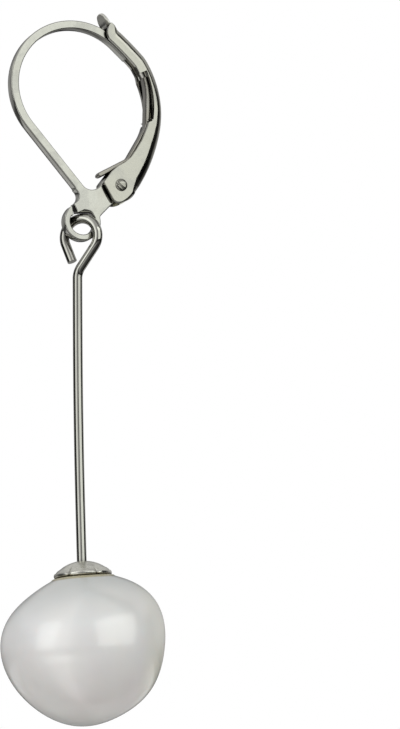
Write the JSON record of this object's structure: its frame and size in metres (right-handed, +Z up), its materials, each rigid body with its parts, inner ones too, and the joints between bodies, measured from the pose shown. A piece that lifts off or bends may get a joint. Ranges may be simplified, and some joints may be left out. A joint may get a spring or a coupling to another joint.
{
  "type": "lever-back pearl drop earring",
  "caption": "Lever-back drop earring: a flat hoop with a spring lever and an eye, from which a baroque pearl hangs on a long straight wire.",
  "frame": {"origin": "the middle of the ear wire where it sits in the ear, at the top of the hoop, straight above the pearl", "axes": "+Z up, with the drop hanging along -Z; the flat ear wire lies in the XZ plane, its front faces -Y and the lever is on the +X side"},
  "size_m": [0.0108, 0.01, 0.0475],
  "materials": {
    "ear_hook": "polished silver",
    "lever": "polished silver",
    "spring_leaf": "bright sheet",
    "rivet": "polished silver",
    "drop_wire": "polished silver",
    "bead_cap": "polished silver",
    "pearl": "silky nacre"
  },
  "bodies": {
    "hook": {"ear_hook": "ear_hook"},
    "clasp": {"lever": "lever", "spring_leaf": "spring_leaf", "rivet": "rivet"},
    "drop": {"drop_wire": "drop_wire", "bead_cap": "bead_cap", "pearl": "pearl"}
  },
  "joints": [
    {"name": "lever_hinge", "type": "hinge", "parent": "hook", "child": "clasp", "pos_m": [0.00255, 0, -0.01078], "axis": [0, 1, 0], "range_deg": [0, 65]},
    {"name": "drop_swing", "type": "hinge", "parent": "hook", "child": "drop", "pos_m": [0, 0, -0.01426], "axis": [0.6884, 0.7254, 0], "range_deg": [-30, 30]}
  ]
}
